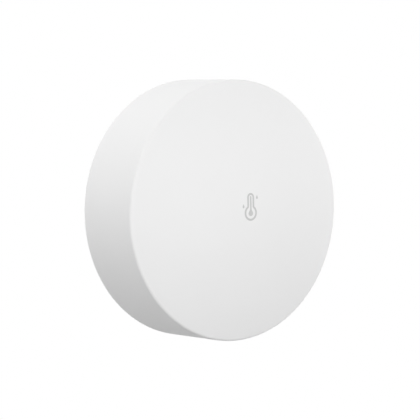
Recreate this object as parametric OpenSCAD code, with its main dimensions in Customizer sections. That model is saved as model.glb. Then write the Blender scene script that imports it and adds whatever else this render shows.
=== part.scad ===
// Round wall-mounted temperature and humidity sensor with a domed face.
// Each piece is modelled with its axis along +z, from the wall (z = 0) to the top of the dome, and then
// stood upright: the face looks along -Y, the wall plane is y = 0 and +Z is up.

/* [Housing] */
// Outer diameter of the housing
body_d = 43; // [42:0.5:46]
// Height of the straight side wall, from the rear rim to the edge of the face
wall_h = 12.8; // [12.4:0.1:14]
// Rise of the domed face above its edge
dome_h = 3.9; // [3.5:0.1:5]
// Wall thickness of the housing
shell_t = 1.6; // [1.4:0.1:1.8]
// Rounding between side wall and face
edge_r = 0.5; // [0.3:0.1:0.8]
// Rounding of the rear rims
rim_r = 0.4; // [0.2:0.1:0.6]
// Distance of the rear rim from the wall, which lets air in
air_gap = 1.0; // [0.8:0.1:1.2]

/* [Rear cover] */
// Thickness of the plate
cover_t = 1.4; // [1.2:0.1:1.6]
// Gap between the plate and the housing round it
cover_gap = 0.2; // [0.15:0.05:0.3]
// Diameter of the adhesive pad
pad_d = 26; // [20:1:27]
// Thickness of the adhesive pad
pad_t = 1.0; // [0.8:0.1:1.2]
// Depth of the pad's seat in the plate
pad_seat = 0.4; // [0.2:0.1:0.5]
// Vent slots in each of the two rows
vent_count = 7; // [3:2:7]

/* [Twist lock] */
// Number of lugs
lock_count = 3; // [2:1:4]
// Angle that a lug of the cover spans
lug_span = 22; // [16:1:24]
// Angle that a lip of the housing spans
lip_span = 28; // [26:1:30]
// Turn from locked to free
twist = 30; // [28:1:34]

/* [Battery] */
// Diameter of the coin cell
cell_d = 24.5; // [23:0.5:24.5]
// Height of the coin cell
cell_h = 7.7; // [7:0.1:7.7]

/* [Board] */
// Diameter of the circuit board
board_d = 35; // [35:0.5:36]
// Thickness of the circuit board
board_t = 1.0; // [0.8:0.2:1]

/* [Reset button] */
// Diameter of the button
button_d = 3.0; // [2.4:0.1:3.2]
// Depth of the finger dish round the button
dish_h = 0.35; // [0.2:0.05:0.4]

/* [Hidden] */
$fn = 96;
// Depth by which joined shapes reach into each other
bite = 0.2;
// Share by which a rounding's circle is larger, so that it crosses both sides cleanly
blend = 1.001;
body_r = body_d / 2;
inner_r = body_r - shell_t;

// Levels along the axis, from the wall to the top of the dome
cover_z = pad_t - pad_seat;
cover_top = cover_z + cover_t;
rim_z = air_gap;
edge_z = rim_z + wall_h;
apex_z = edge_z + dome_h;
tray_z = cover_top + 0.15;
cell_z = tray_z + 0.6;
cell_top = cell_z + cell_h;
floor_z = cell_top + 0.1;
board_z = floor_z + 0.6;
board_top = board_z + board_t;

// Ball that the face is a cap of
dome_r = (body_r * body_r + dome_h * dome_h) / (2 * dome_h);
dome_z = apex_z - dome_r;
inner_edge_r = 1.2;

// Rear cover and twist lock
cover_r = inner_r - cover_gap;
lock_in = body_r - 4.5;
lock_out = body_r - 3.3;
lock_top = cover_top + 3.0;
lock_span = 36;
lug_r = body_r - 2.2;
lug_z = cover_top + 1.8;
lip_r = lock_out + 0.3;
lip_z = cover_top + 0.2;
lip_top = lug_z - 0.15;
stop_r = lip_r + 0.15;
stop_z = lip_z + 0.3;
stop_gap = 0.6;
stop_span = 2.4;
gusset_t = 1.2;
gusset_l = 1.5;
gusset_h = 2.2;
vent_w = 1.0;
vent_in = pad_d / 2 + 1.2;
vent_out = lock_in - 0.8;
vent_pitch = 8;
vent_rows = [90, 270];

// Battery tray
tray_in = cell_d / 2 + 0.25;
tray_out = tray_in + 0.9;
tray_window_r = 6.5;
hook_reach = 0.55;
hook_h = 0.5;
hook_span = 14;
hook_angles = [90, 210, 330];
slit_w = 0.9;
slit_h = 5.0;
slit_span = 6;
ear_r = 2.3;
ear_h = 1.8;

// Screws that hold tray and board on the bosses of the housing
screw_angles = [60, 180, 300];
screw_at = tray_out + 1.7;
screw_r = 0.95;
screw_hole_r = screw_r + 0.15;
screw_z = board_z - ear_h;
screw_tip = board_top + 2.2;
point_h = 0.5;
head_r = 1.6;
head_h = 1.2;
head_edge_r = 0.3;
recess_w = 0.5;
recess_l = 1.9;
recess_h = 0.7;

// Bosses and ribs inside the housing
boss_r = 2.0;
pilot_r = screw_r + 0.05;
pilot_h = 2.4;
rib_t = 1.0;
rib_in = board_d / 2 - 0.9;
rib_angles = [0, 30, 90, 120, 150, 210, 240, 330];

// Coin cell, cap towards the board
cell_r = cell_d / 2;
can_top = cell_top - 0.4;
can_edge_r = 0.4;
seal_r = cell_r - 1.0;
seal_top = cell_top - 0.5;
cap_r = cell_r - 1.5;
cap_z = cell_top - 1.0;
cap_edge_r = 0.3;
plus_l = 6;
plus_w = 1.2;
plus_h = 0.15;

// Spring contacts
strip_t = 0.25;
strip_w = 4;
touch_gap = 0.03;
plus_angle = 150;
plus_r = tray_out + 0.5;
plus_foot_r = tray_out + 2.6;
plus_top = board_z - 2.0;
plus_mid = board_z - 4.0;
plus_low = board_z - 6.0;
window_gap = 0.6;
window_w = strip_w + 2 * window_gap;

// Parts on the board
sensor_at = [0, -15.2];
sensor_size = [2.5, 2.5, 0.9];
sensor_eye_r = 0.6;
sensor_eye_h = 0.3;
tongue_w = 5.2;
tongue_l = 4.5;
tongue_slot = 0.9;
chip_size = [6, 6, 0.85];
chip_at = [-4.5, 1.5];
dimple_r = 0.35;
dimple_h = 0.1;
crystal_base = [3.2, 2.5, 0.3];
crystal_lid = [2.9, 2.2, 0.5];
crystal_at = [2.6, 5.4];
antenna_size = [5, 2, 0.8];
antenna_at = [0, 14.2];
led_base = [1.6, 0.8, 0.3];
led_lens = [1.1, 0.8, 0.35];
led_at = [0, -4.6];
led_pocket_r = 1.6;
led_skin = 0.8;
// Chip capacitors: two large buffers and the small ones
buffer_size = [3.2, 1.6, 1.6];
buffer_at = [[8.4, 2.2], [8.4, -5.2]];
capacitor_size = [1.0, 0.5, 0.5];
capacitor_at = [[-9.2, 3.6], [-9.2, 1.8], [-9.2, 0], [0.2, 8.6], [2.2, 8.6], [4.2, 8.6], [-6.4, -3.4]];
// Chip resistors
resistor_size = [1.0, 0.5, 0.35];
resistor_at = [[-4.5, 6.6], [-2.6, 6.6], [-2.2, -4.6], [-4.4, -3.4], [8.6, -2.4]];

// Reset switch and button, on the right-hand side
button_r = button_d / 2;
button_z = board_z - 2.6;
button_hole_r = button_r + 0.15;
button_end = body_r - dish_h + 0.05;
button_cap_r = 4;
dish_r = 12;
flange_r = button_r + 0.8;
flange_t = 1.0;
flange_x = inner_r - 0.45 - flange_t;
switch_w = 4.5;
switch_h = 4.3;
switch_in = board_d / 2 - 3.6;
switch_out = board_d / 2 - 0.5;
sheet_t = 0.3;
strap_in = 0.8;
strap_low = 1.2;
leg_w = 0.8;
plunger_r = 1.1;
plunger_bore_r = 1.25;
plunger_in = switch_out - 0.5;
plunger_well = plunger_in - 0.4;

// Stands a piece upright: its +z looks out of the wall, along -Y
module upright() rotate([90, 0, 0]) children();

// Turns a shape along +z into one along +x, on the axis of the button
module sideways(x) translate([x, 0, button_z]) rotate([0, 90, 0]) children();

// Repeats a shape on the axis of each tray screw, from level z
module at_screws(z)
    for (a = screw_angles) rotate([0, 0, a]) translate([screw_at, 0, z]) children();

// Ring or disc between two radii and two levels
module tube(r_in, r_out, z0, z1)
    rotate_extrude() translate([r_in, z0]) square([r_out - r_in, z1 - z0]);

// Stretch of a ring between two angles
module arc_block(r_in, r_out, a0, a1, z0, z1)
    rotate([0, 0, a0])
        rotate_extrude(angle = a1 - a0)
            translate([r_in, z0]) square([r_out - r_in, z1 - z0]);

// Box centred in x and y that stands on level z
module chip(size, at, z) translate([at.x - size.x / 2, at.y - size.y / 2, z]) cube(size);

// What a rounding takes off a square corner of a profile; dir points from the corner into the profile
module round_off(corner, dir, r)
    difference() {
        translate([corner.x + dir.x * r / 4, corner.y + dir.y * r / 4]) square(1.5 * r, center = true);
        translate([corner.x + dir.x * r, corner.y + dir.y * r]) circle(r * blend);
    }

// Half section of a domed cup: straight wall, ball-shaped top, rounded where the two meet
module domed_section(wall_r, ball_r, round_r, z0) {
    centre = [wall_r - round_r, dome_z + sqrt(pow(ball_r - round_r, 2) - pow(wall_r - round_r, 2))];
    out = [centre.x, centre.y - dome_z] / (ball_r - round_r);
    on_wall = [wall_r, centre.y];
    on_dome = [0, dome_z] + out * ball_r;
    difference() {
        intersection() {
            translate([0, z0]) square([wall_r, apex_z - z0 + 1]);
            translate([0, dome_z]) circle(ball_r);
        }
        difference() {
            polygon([centre, on_wall, on_wall + [round_r, 0], [wall_r + round_r, on_dome.y + round_r],
                on_dome + out * round_r, on_dome]);
            translate(centre) circle(round_r * blend);
        }
    }
}

// Web of width w whose outline lies in the plane of radius and axis
module web(w) rotate([90, 0, 0]) translate([0, 0, -w / 2]) linear_extrude(w) children();

// Outline of a bent strip of thickness t that follows points, with mitred bends
function side(p, q) = let (d = q - p) [-d.y, d.x] / norm(d);
function mitre(pts, i) =
    let (
        last = len(pts) - 1,
        a = side(pts[max(i - 1, 0)], pts[max(i, 1)]),
        b = side(pts[min(i, last - 1)], pts[min(i + 1, last)])
    ) (a + b) / (1 + a * b);
module strip_section(pts, t)
    polygon(concat(
        [for (i = [0 : len(pts) - 1]) pts[i] + mitre(pts, i) * t / 2],
        [for (i = [len(pts) - 1 : -1 : 0]) pts[i] - mitre(pts, i) * t / 2]));

function lock_angle(i) = i * 360 / lock_count;

module vent_slots()
    for (row = vent_rows, i = [0 : vent_count - 1])
        rotate(row + (i - (vent_count - 1) / 2) * vent_pitch) {
            translate([vent_in, -vent_w / 2]) square([vent_out - vent_in, vent_w]);
            for (r = [vent_in, vent_out]) translate([r, 0]) circle(vent_w / 2);
        }

// Lock of the cover at angle a: a piece of ring wall, its lug and a gusset behind it
module cover_lock(a) {
    arc_block(lock_in, lock_out, a - lock_span / 2, a + lock_span / 2, cover_top - bite, lock_top);
    arc_block(lock_out - bite, lug_r, a - lug_span / 2, a + lug_span / 2, lug_z, lock_top);
    rotate([0, 0, a])
        web(gusset_t)
            polygon([[lock_in - gusset_l, cover_top - bite], [lock_in + bite, cover_top - bite],
                [lock_in + bite, cover_top + gusset_h], [lock_in - gusset_l, cover_top + bite]]);
}

module rear_cover() color("whitesmoke") upright() {
    difference() {
        rotate_extrude()
            difference() {
                translate([0, cover_z]) square([cover_r, cover_t]);
                translate([-1, cover_z - 1]) square([pad_d / 2 + 1.2, pad_seat + 1]);
                round_off([cover_r, cover_z], [-1, 1], rim_r);
            }
        translate([0, 0, cover_z - 1]) linear_extrude(cover_t + 2) vent_slots();
    }
    for (i = [0 : lock_count - 1]) cover_lock(lock_angle(i));
}

module adhesive_pad() color("gainsboro") upright() cylinder(d = pad_d, h = pad_t);

// Lock of the housing at angle a: the lip behind the lug, and the stops at both ends of the turn
module housing_lock(a) {
    locked = a + lug_span / 2 + stop_gap;
    free = a - lug_span / 2 - twist - stop_gap;
    arc_block(lip_r, inner_r + bite, a - lip_span / 2, locked + stop_span / 2, lip_z, lip_top);
    arc_block(stop_r, inner_r + bite, locked, locked + stop_span, stop_z, lock_top);
    arc_block(stop_r, inner_r + bite, free - stop_span, free, stop_z, lock_top);
}

// Bosses and ribs, ended half way into the thickness of the face
module housing_supports()
    intersection() {
        union() {
            at_screws(board_top) cylinder(r = boss_r, h = dome_h);
            for (a = rib_angles)
                rotate([0, 0, a])
                    translate([rib_in, -rib_t / 2, board_top])
                        cube([inner_r + bite - rib_in, rib_t, dome_h]);
        }
        rotate_extrude()
            domed_section(body_r - shell_t / 2, dome_r - shell_t / 2, inner_edge_r, rim_z);
    }

module front_housing() color("white") upright()
    difference() {
        union() {
            rotate_extrude()
                difference() {
                    domed_section(body_r, dome_r, edge_r, rim_z);
                    domed_section(inner_r, dome_r - shell_t, inner_edge_r, rim_z - 1);
                    round_off([body_r, rim_z], [-1, 1], rim_r);
                }
            housing_supports();
            for (i = [0 : lock_count - 1]) housing_lock(lock_angle(i));
        }
        at_screws(board_top - 1) cylinder(r = pilot_r, h = pilot_h + 1);
        translate([led_at.x, led_at.y, board_top])
            cylinder(r = led_pocket_r, h = apex_z - led_skin - board_top);
        sideways(inner_r - 2) cylinder(r = button_hole_r, h = 2 * shell_t + 2);
        sideways(body_r - dish_h + dish_r) sphere(r = dish_r);
    }

module battery_tray() color("dimgray") upright()
    difference() {
        union() {
            difference() {
                translate([0, 0, tray_z]) cylinder(r = tray_out, h = board_z - tray_z);
                translate([0, 0, tray_z - 1]) cylinder(r = tray_in, h = floor_z - tray_z + 1);
                translate([0, 0, tray_z - 1]) cylinder(r = tray_window_r, h = board_z);
                for (a = hook_angles, s = [-1, 1])
                    rotate([0, 0, a + s * (hook_span + slit_span) / 2])
                        translate([tray_in - 1, -slit_w / 2, tray_z - 1]) cube([3, slit_w, slit_h + 1]);
                rotate([0, 0, plus_angle])
                    translate([tray_in - 1, -window_w / 2, plus_low - window_gap])
                        cube([3, window_w, plus_top - plus_low + 2 * window_gap]);
            }
            for (a = hook_angles)
                arc_block(cell_r - hook_reach, tray_in + bite, a - hook_span / 2, a + hook_span / 2,
                    tray_z, tray_z + hook_h);
            at_screws(screw_z) cylinder(r = ear_r, h = ear_h);
        }
        at_screws(screw_z - 1) cylinder(r = screw_hole_r, h = ear_h + 2);
    }

module main_board() color("seagreen") upright()
    difference() {
        translate([0, 0, board_z]) cylinder(d = board_d, h = board_t);
        at_screws(board_z - 1) cylinder(r = screw_hole_r, h = board_t + 2);
        for (s = [-1, 1])
            translate([s * (tongue_w + tongue_slot) / 2 - tongue_slot / 2, -board_d / 2 - 1, board_z - 1])
                cube([tongue_slot, tongue_l + 1, board_t + 2]);
    }

module radio_chip() color("black") upright()
    difference() {
        chip(chip_size, chip_at, board_top);
        translate([chip_at.x - 2.2, chip_at.y + 2.2, board_top + chip_size.z - dimple_h])
            cylinder(r = dimple_r, h = 1);
    }

module crystal() color("silver") upright() {
    chip(crystal_base, crystal_at, board_top);
    chip(crystal_lid + [0, 0, bite], crystal_at, board_top + crystal_base.z - bite);
}

module humidity_sensor() color("black") upright()
    difference() {
        chip(sensor_size, sensor_at, board_z - sensor_size.z);
        translate([sensor_at.x, sensor_at.y, board_z - sensor_size.z - 1])
            cylinder(r = sensor_eye_r, h = sensor_eye_h + 1);
    }

module chip_antenna() color("steelblue") upright() chip(antenna_size, antenna_at, board_top);

module status_led() color("lightyellow") upright() {
    chip(led_base, led_at, board_top);
    chip(led_lens + [0, 0, bite], led_at, board_top + led_base.z - bite);
}

module chip_capacitors() color("tan") upright() {
    for (at = buffer_at) chip(buffer_size, at, board_top);
    for (at = capacitor_at) chip(capacitor_size, at, board_top);
}

module chip_resistors() color("black") upright()
    for (at = resistor_at) chip(resistor_size, at, board_top);

// Leaf spring on the board that presses on the cap of the cell
module negative_contact() color("gold") upright()
    web(strip_w)
        strip_section([[-5.8, board_z - strip_t / 2], [-2.5, board_z - strip_t / 2],
            [2.5, cell_top + strip_t / 2 + touch_gap], [3.8, cell_top + strip_t / 2 + 0.3]], strip_t);

// Leaf spring beside the tray that reaches through its window to the side of the can
module positive_contact() color("gold") upright()
    rotate([0, 0, plus_angle])
        web(strip_w)
            strip_section([[plus_foot_r, board_z - strip_t / 2], [plus_r, board_z - strip_t / 2],
                [plus_r, plus_top], [cell_r + strip_t / 2 + touch_gap, plus_mid], [plus_r, plus_low]],
                strip_t);

module cell_can() color("silver") upright()
    difference() {
        rotate_extrude()
            difference() {
                translate([0, cell_z]) square([cell_r, can_top - cell_z]);
                translate([-1, cap_z]) square([seal_r + 1, cell_h]);
                round_off([cell_r, cell_z], [-1, 1], can_edge_r);
                round_off([cell_r, can_top], [-1, -1], can_edge_r);
            }
        for (a = [0, 90])
            rotate([0, 0, a])
                translate([-plus_l / 2, -plus_w / 2, cell_z - 1]) cube([plus_l, plus_w, plus_h + 1]);
    }

module cell_cap() color("lightgray") upright()
    rotate_extrude()
        difference() {
            translate([0, cap_z]) square([cap_r, cell_top - cap_z]);
            round_off([cap_r, cell_top], [-1, -1], cap_edge_r);
        }

module cell_seal() color("darkslategray") upright() tube(cap_r, seal_r, cap_z, seal_top);

// One pan-head screw along +z; its head ends at z = 0
module pan_screw(length)
    difference() {
        rotate_extrude()
            union() {
                difference() {
                    translate([0, -head_h]) square([head_r, head_h]);
                    round_off([head_r, -head_h], [-1, 1], head_edge_r);
                }
                polygon([[0, -bite], [screw_r, -bite], [screw_r, length - point_h], [screw_r / 3, length],
                    [0, length]]);
            }
        for (a = [0, 90])
            rotate([0, 0, a])
                translate([-recess_l / 2, -recess_w / 2, -head_h - 1])
                    cube([recess_l, recess_w, recess_h + 1]);
    }

module tray_screws() color("silver") upright() at_screws(screw_z) pan_screw(screw_tip - screw_z);

module switch_base() color("black") upright()
    difference() {
        union() {
            translate([switch_in, -switch_w / 2, button_z - switch_h / 2])
                cube([switch_out - sheet_t - switch_in, switch_w, switch_h]);
            for (s = [-1, 1])
                translate([switch_in, s * (switch_w - leg_w) / 2 - leg_w / 2, button_z])
                    cube([leg_w, leg_w, board_z - button_z]);
        }
        sideways(plunger_well) cylinder(r = plunger_bore_r, h = switch_out - plunger_well);
    }

module switch_cover() color("silver") upright() {
    difference() {
        translate([switch_out - sheet_t, -switch_w / 2 - sheet_t, button_z - switch_h / 2])
            cube([sheet_t, switch_w + 2 * sheet_t, switch_h]);
        sideways(switch_out - 1) cylinder(r = plunger_bore_r, h = 2);
    }
    for (s = [0, 1])
        mirror([0, s, 0])
            translate([switch_in + strap_in, switch_w / 2, button_z - strap_low])
                cube([switch_out - switch_in - strap_in, sheet_t, board_z - button_z + strap_low]);
}

module switch_plunger() color("white") upright()
    sideways(plunger_in) cylinder(r = plunger_r, h = flange_x - plunger_in);

module reset_button() color("white") upright() {
    sideways(flange_x) cylinder(r = flange_r, h = flange_t);
    intersection() {
        sideways(flange_x + flange_t - bite) cylinder(r = button_r, h = button_end - flange_x);
        sideways(button_end - button_cap_r) sphere(r = button_cap_r);
    }
}

rear_cover();
adhesive_pad();
front_housing();
battery_tray();
main_board();
radio_chip();
crystal();
humidity_sensor();
chip_antenna();
status_led();
chip_capacitors();
chip_resistors();
negative_contact();
positive_contact();
cell_can();
cell_cap();
cell_seal();
tray_screws();
switch_base();
switch_cover();
switch_plunger();
reset_button();
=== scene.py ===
"""Looks of a round, wall-mounted temperature and humidity sensor.

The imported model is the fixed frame. The pieces that show are worked out again as fine surfaces, and the
pieces inside keep their solids and get their finishes. All sizes are in millimetres in the sensor's own
frame: u to the right, v up and a away from the wall. A point goes to the scene as (u, -a, v), in metres.
"""

import logging
import math
from collections.abc import Sequence
from dataclasses import dataclass, field
from enum import Enum

import bpy
import numpy as np
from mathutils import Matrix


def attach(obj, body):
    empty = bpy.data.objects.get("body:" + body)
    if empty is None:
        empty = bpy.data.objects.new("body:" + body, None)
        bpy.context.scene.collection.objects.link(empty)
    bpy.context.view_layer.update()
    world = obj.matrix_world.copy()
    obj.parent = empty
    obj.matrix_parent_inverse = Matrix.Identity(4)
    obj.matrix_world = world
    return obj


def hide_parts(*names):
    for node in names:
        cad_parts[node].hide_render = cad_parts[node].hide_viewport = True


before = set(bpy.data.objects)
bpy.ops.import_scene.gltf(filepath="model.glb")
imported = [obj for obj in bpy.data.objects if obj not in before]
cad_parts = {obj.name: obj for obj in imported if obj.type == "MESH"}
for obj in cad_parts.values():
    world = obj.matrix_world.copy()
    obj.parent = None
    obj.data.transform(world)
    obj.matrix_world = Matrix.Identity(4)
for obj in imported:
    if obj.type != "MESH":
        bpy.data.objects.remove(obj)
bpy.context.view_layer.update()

LOG = logging.getLogger("sensor")
Array = np.ndarray
Colour = tuple[float, float, float]
Pair = tuple[float, float]
Node = bpy.types.Node
Piece = bpy.types.Object
Socket = bpy.types.NodeSocket
Inputs = dict[str | int, object]
METRES = 0.001
SMOOTH_ANGLE = math.radians(40)
REPEAT = 1e-6
TINY = 1e-9
WHITE = (1.0, 1.0, 1.0, 1.0)
THIRDS = (0.33, 0.66)


class Body(str, Enum):
    """Rigid bodies that a piece can ride on."""

    BASE = "base"
    SENSOR = "sensor_body"
    BUTTON = "button"


class Pattern(Enum):
    """Surface patterns that a finish can carry."""

    GRAIN = "moulded_grain"
    LINES = "brushed_lines"
    CELLS = "foam_cells"
    TRACKS = "copper_tracks"


@dataclass(frozen=True)
class Levels:
    """Main sizes of the sensor, the same as the solids have, and the rounding of small edges."""

    body_r: float = 21.5
    shell: float = 1.6
    rim: float = 1.0
    edge: float = 13.8
    dome: float = 3.9
    edge_r: float = 0.5
    rim_r: float = 0.4
    cover_low: float = 0.6
    cover_top: float = 2.0
    board_top: float = 12.15
    button: float = 8.55
    lock_angles: tuple[float, ...] = (0.0, 120.0, 240.0)
    soft: float = 0.15

    @property
    def inner_r(self) -> float:
        """Inner radius of the side wall."""
        return self.body_r - self.shell

    @property
    def ball_r(self) -> float:
        """Radius of the ball that the face is a cap of."""
        return (self.body_r**2 + self.dome**2) / (2 * self.dome)

    @property
    def ball_a(self) -> float:
        """Height of that ball's middle, which lies behind the wall."""
        return self.edge + self.dome - self.ball_r

    def under_face(self, radius: Array | float) -> Array | float:
        """Height of the face's inner side: sqrt(ball^2 - radius^2) above the ball's middle."""
        return self.ball_a + np.sqrt((self.ball_r - self.shell) ** 2 - np.square(radius))


SIZE = Levels()


def arc(centre: Sequence[float], radius: float, start: float, end: float, count: int) -> Array:
    """Points of an arc: centre + radius * (sin t, cos t), with t even from start to end.

    Args:
        centre: Middle of the arc.
        radius: Its radius.
        start: First angle in degrees, from the second axis towards the first.
        end: Last angle in degrees.
        count: Number of points.

    Returns:
        Points of shape (count, 2).
    """
    t = np.radians(np.linspace(start, end, count))
    return np.asarray(centre) + radius * np.stack([np.sin(t), np.cos(t)], axis=1)


def joined(*stretches: Array) -> Array:
    """Chain stretches of a profile and drop points that repeat the one before.

    Args:
        stretches: Point arrays of shape (n, 2).

    Returns:
        One point array.
    """
    points = np.concatenate(stretches)
    step = np.linalg.norm(np.diff(points, axis=0), axis=1)
    return points[np.concatenate([[True], step > REPEAT])]


def even(start: Sequence[float], end: Sequence[float], count: int) -> Array:
    """Points on a straight line, evenly spaced, both ends included."""
    return np.linspace(np.asarray(start, float), np.asarray(end, float), count)


def round_angles(columns: int) -> Array:
    """Angles of even columns round a full turn, in radians."""
    return np.arange(columns) * 2 * math.pi / columns


def spun(radius: Array | float, side: Array | float, height: Array | float, angle: Array | float) -> Array:
    """Points beside a radius: (r cos t - s sin t, r sin t + s cos t, height).

    Args:
        radius: Distance r along the radius.
        side: Distance s beside it, towards rising angles.
        height: Height above the wall.
        angle: Direction t of the radius, in radians.

    Returns:
        Points of shape (..., 3), where the four shapes are broadcast together.
    """
    c, s = np.cos(angle), np.sin(angle)
    places = np.broadcast_arrays(radius * c - side * s, radius * s + side * c, height)
    return np.stack(places, axis=-1)


def grid_quads(rows: int, columns: int, wrap_rows: bool = False) -> Array:
    """Faces of a grid whose point (i, j) has the index i * columns + j, and whose columns close a ring.

    Args:
        rows: Number of rows.
        columns: Number of columns.
        wrap_rows: Whether the last row joins the first.

    Returns:
        Vertex indices of shape (faces, 4).
    """
    i = np.arange(rows if wrap_rows else rows - 1)
    a, b = (k.ravel() for k in np.meshgrid(i, np.arange(columns), indexing="ij"))
    a2, b2 = (a + 1) % rows, (b + 1) % columns
    return np.stack([a * columns + b, a2 * columns + b, a2 * columns + b2, a * columns + b2], axis=1)


def end_fans(rows: int, columns: int, first: int) -> Array:
    """Triangles that draw the first and the last row of a grid together into one point each.

    Args:
        rows: Number of rows.
        columns: Number of columns.
        first: Index of the first row's point; the last row's point comes after it.

    Returns:
        Vertex indices of shape (2 * columns, 3), the first row's triangles first.
    """
    j = np.arange(columns)
    nxt, low = (j + 1) % columns, (rows - 1) * columns
    return np.concatenate([
        np.stack([0 * j + first, j, nxt], axis=1),
        np.stack([0 * j + first + 1, low + nxt, low + j], axis=1),
    ])


class Form:
    """A mesh in the making: closed surfaces that are put together into one piece."""

    def __init__(self) -> None:
        """Start with no surface."""
        self.points: list[Array] = []
        self.faces: list[Array] = []
        self.count = 0

    def add(self, points: Array, *faces: Array) -> None:
        """Add a closed surface and turn its faces outwards.

        The signed volume is the sum of det(p, q, r) / 6 over the triangles; if it is negative, all faces
        are turned round.

        Args:
            points: Points (u, v, a) of shape (n, 3).
            faces: Face arrays of shape (m, 3) or (m, 4).
        """
        volume = 0.0
        for block in faces:
            for k in range(1, block.shape[1] - 1):
                p, q, r = points[block[:, 0]], points[block[:, k]], points[block[:, k + 1]]
                volume += float(np.einsum("ij,ij->", p, np.cross(q, r)))
        for block in faces:
            self.faces.append((block if volume > 0 else block[:, ::-1]) + self.count)
        self.points.append(points)
        self.count += len(points)

    def sweep(self, sections: Array) -> None:
        """Add a bar: a closed section carried along a path, with both ends closed by fans.

        Args:
            sections: Points of shape (stations, section points, 3).
        """
        stations, count, _ = sections.shape
        points = np.concatenate([sections.reshape(-1, 3), sections[[0, -1]].mean(axis=1)])
        self.add(points, grid_quads(stations, count), end_fans(stations, count, stations * count))

    def arc_bar(self, section: Array, start: float, end: float, steps: int = 24) -> None:
        """Add a bar that follows the sensor's round: section (radius, height) turned from start to end.

        Args:
            section: Closed section of shape (n, 2).
            start: First angle in degrees.
            end: Last angle in degrees.
            steps: Stations along the arc.
        """
        t = np.radians(np.linspace(start, end, steps))[:, None]
        self.sweep(spun(section[:, 0], 0.0, section[:, 1], t))

    def radial_bar(
        self, section: Array, span: Pair, angle: float, steps: int = 6,
        widths: Pair = (1.0, 1.0), rises: Pair = (1.0, 1.0), foot: float = 0.0,
    ) -> None:
        """Add a bar along a radius: section (sideways, height) carried from one radius to another.

        On the way, what is sideways is multiplied by the width there, and the height above the foot by the
        rise there; both change evenly from end to end.

        Args:
            section: Closed section of shape (n, 2).
            span: Inner and outer radius.
            angle: Direction of the radius in degrees.
            steps: Stations along the radius.
            widths: Width at either end.
            rises: Rise at either end.
            foot: Height that the section stands on.
        """
        r, width, rise = (np.linspace(*ends, steps)[:, None] for ends in (span, widths, rises))
        self.sweep(spun(r, width * section[:, 0], foot + rise * section[:, 1], math.radians(angle)))

    def loop(self, section: Array, centre: Array, columns: int = 48) -> None:
        """Add a ring: a closed section (radius, height) turned about an axis through centre.

        Args:
            section: Closed section of shape (n, 2).
            centre: Place of the axis, (u, v).
            columns: Points round the axis.
        """
        points = spun(section[:, :1], 0.0, section[:, 1:], round_angles(columns)) + (*centre, 0.0)
        self.add(points.reshape(-1, 3), grid_quads(len(section), columns, wrap_rows=True))

    def piece(self, name: str) -> Piece:
        """Make the Blender object, with smooth faces and sharp edges where the surface folds.

        Args:
            name: Name of the piece.

        Returns:
            The new object, at the origin.
        """
        local = np.concatenate(self.points)
        world = np.stack([local[:, 0], -local[:, 2], local[:, 1]], axis=1) * METRES
        faces = [face for block in self.faces for face in block.tolist()]
        mesh = bpy.data.meshes.new(name)
        mesh.from_pydata(world.tolist(), [], faces)
        mesh.shade_smooth()
        mesh.set_sharp_from_angle(angle=SMOOTH_ANGLE)
        mesh.validate()
        obj = bpy.data.objects.new(name, mesh)
        bpy.context.scene.collection.objects.link(obj)
        return obj


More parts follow.
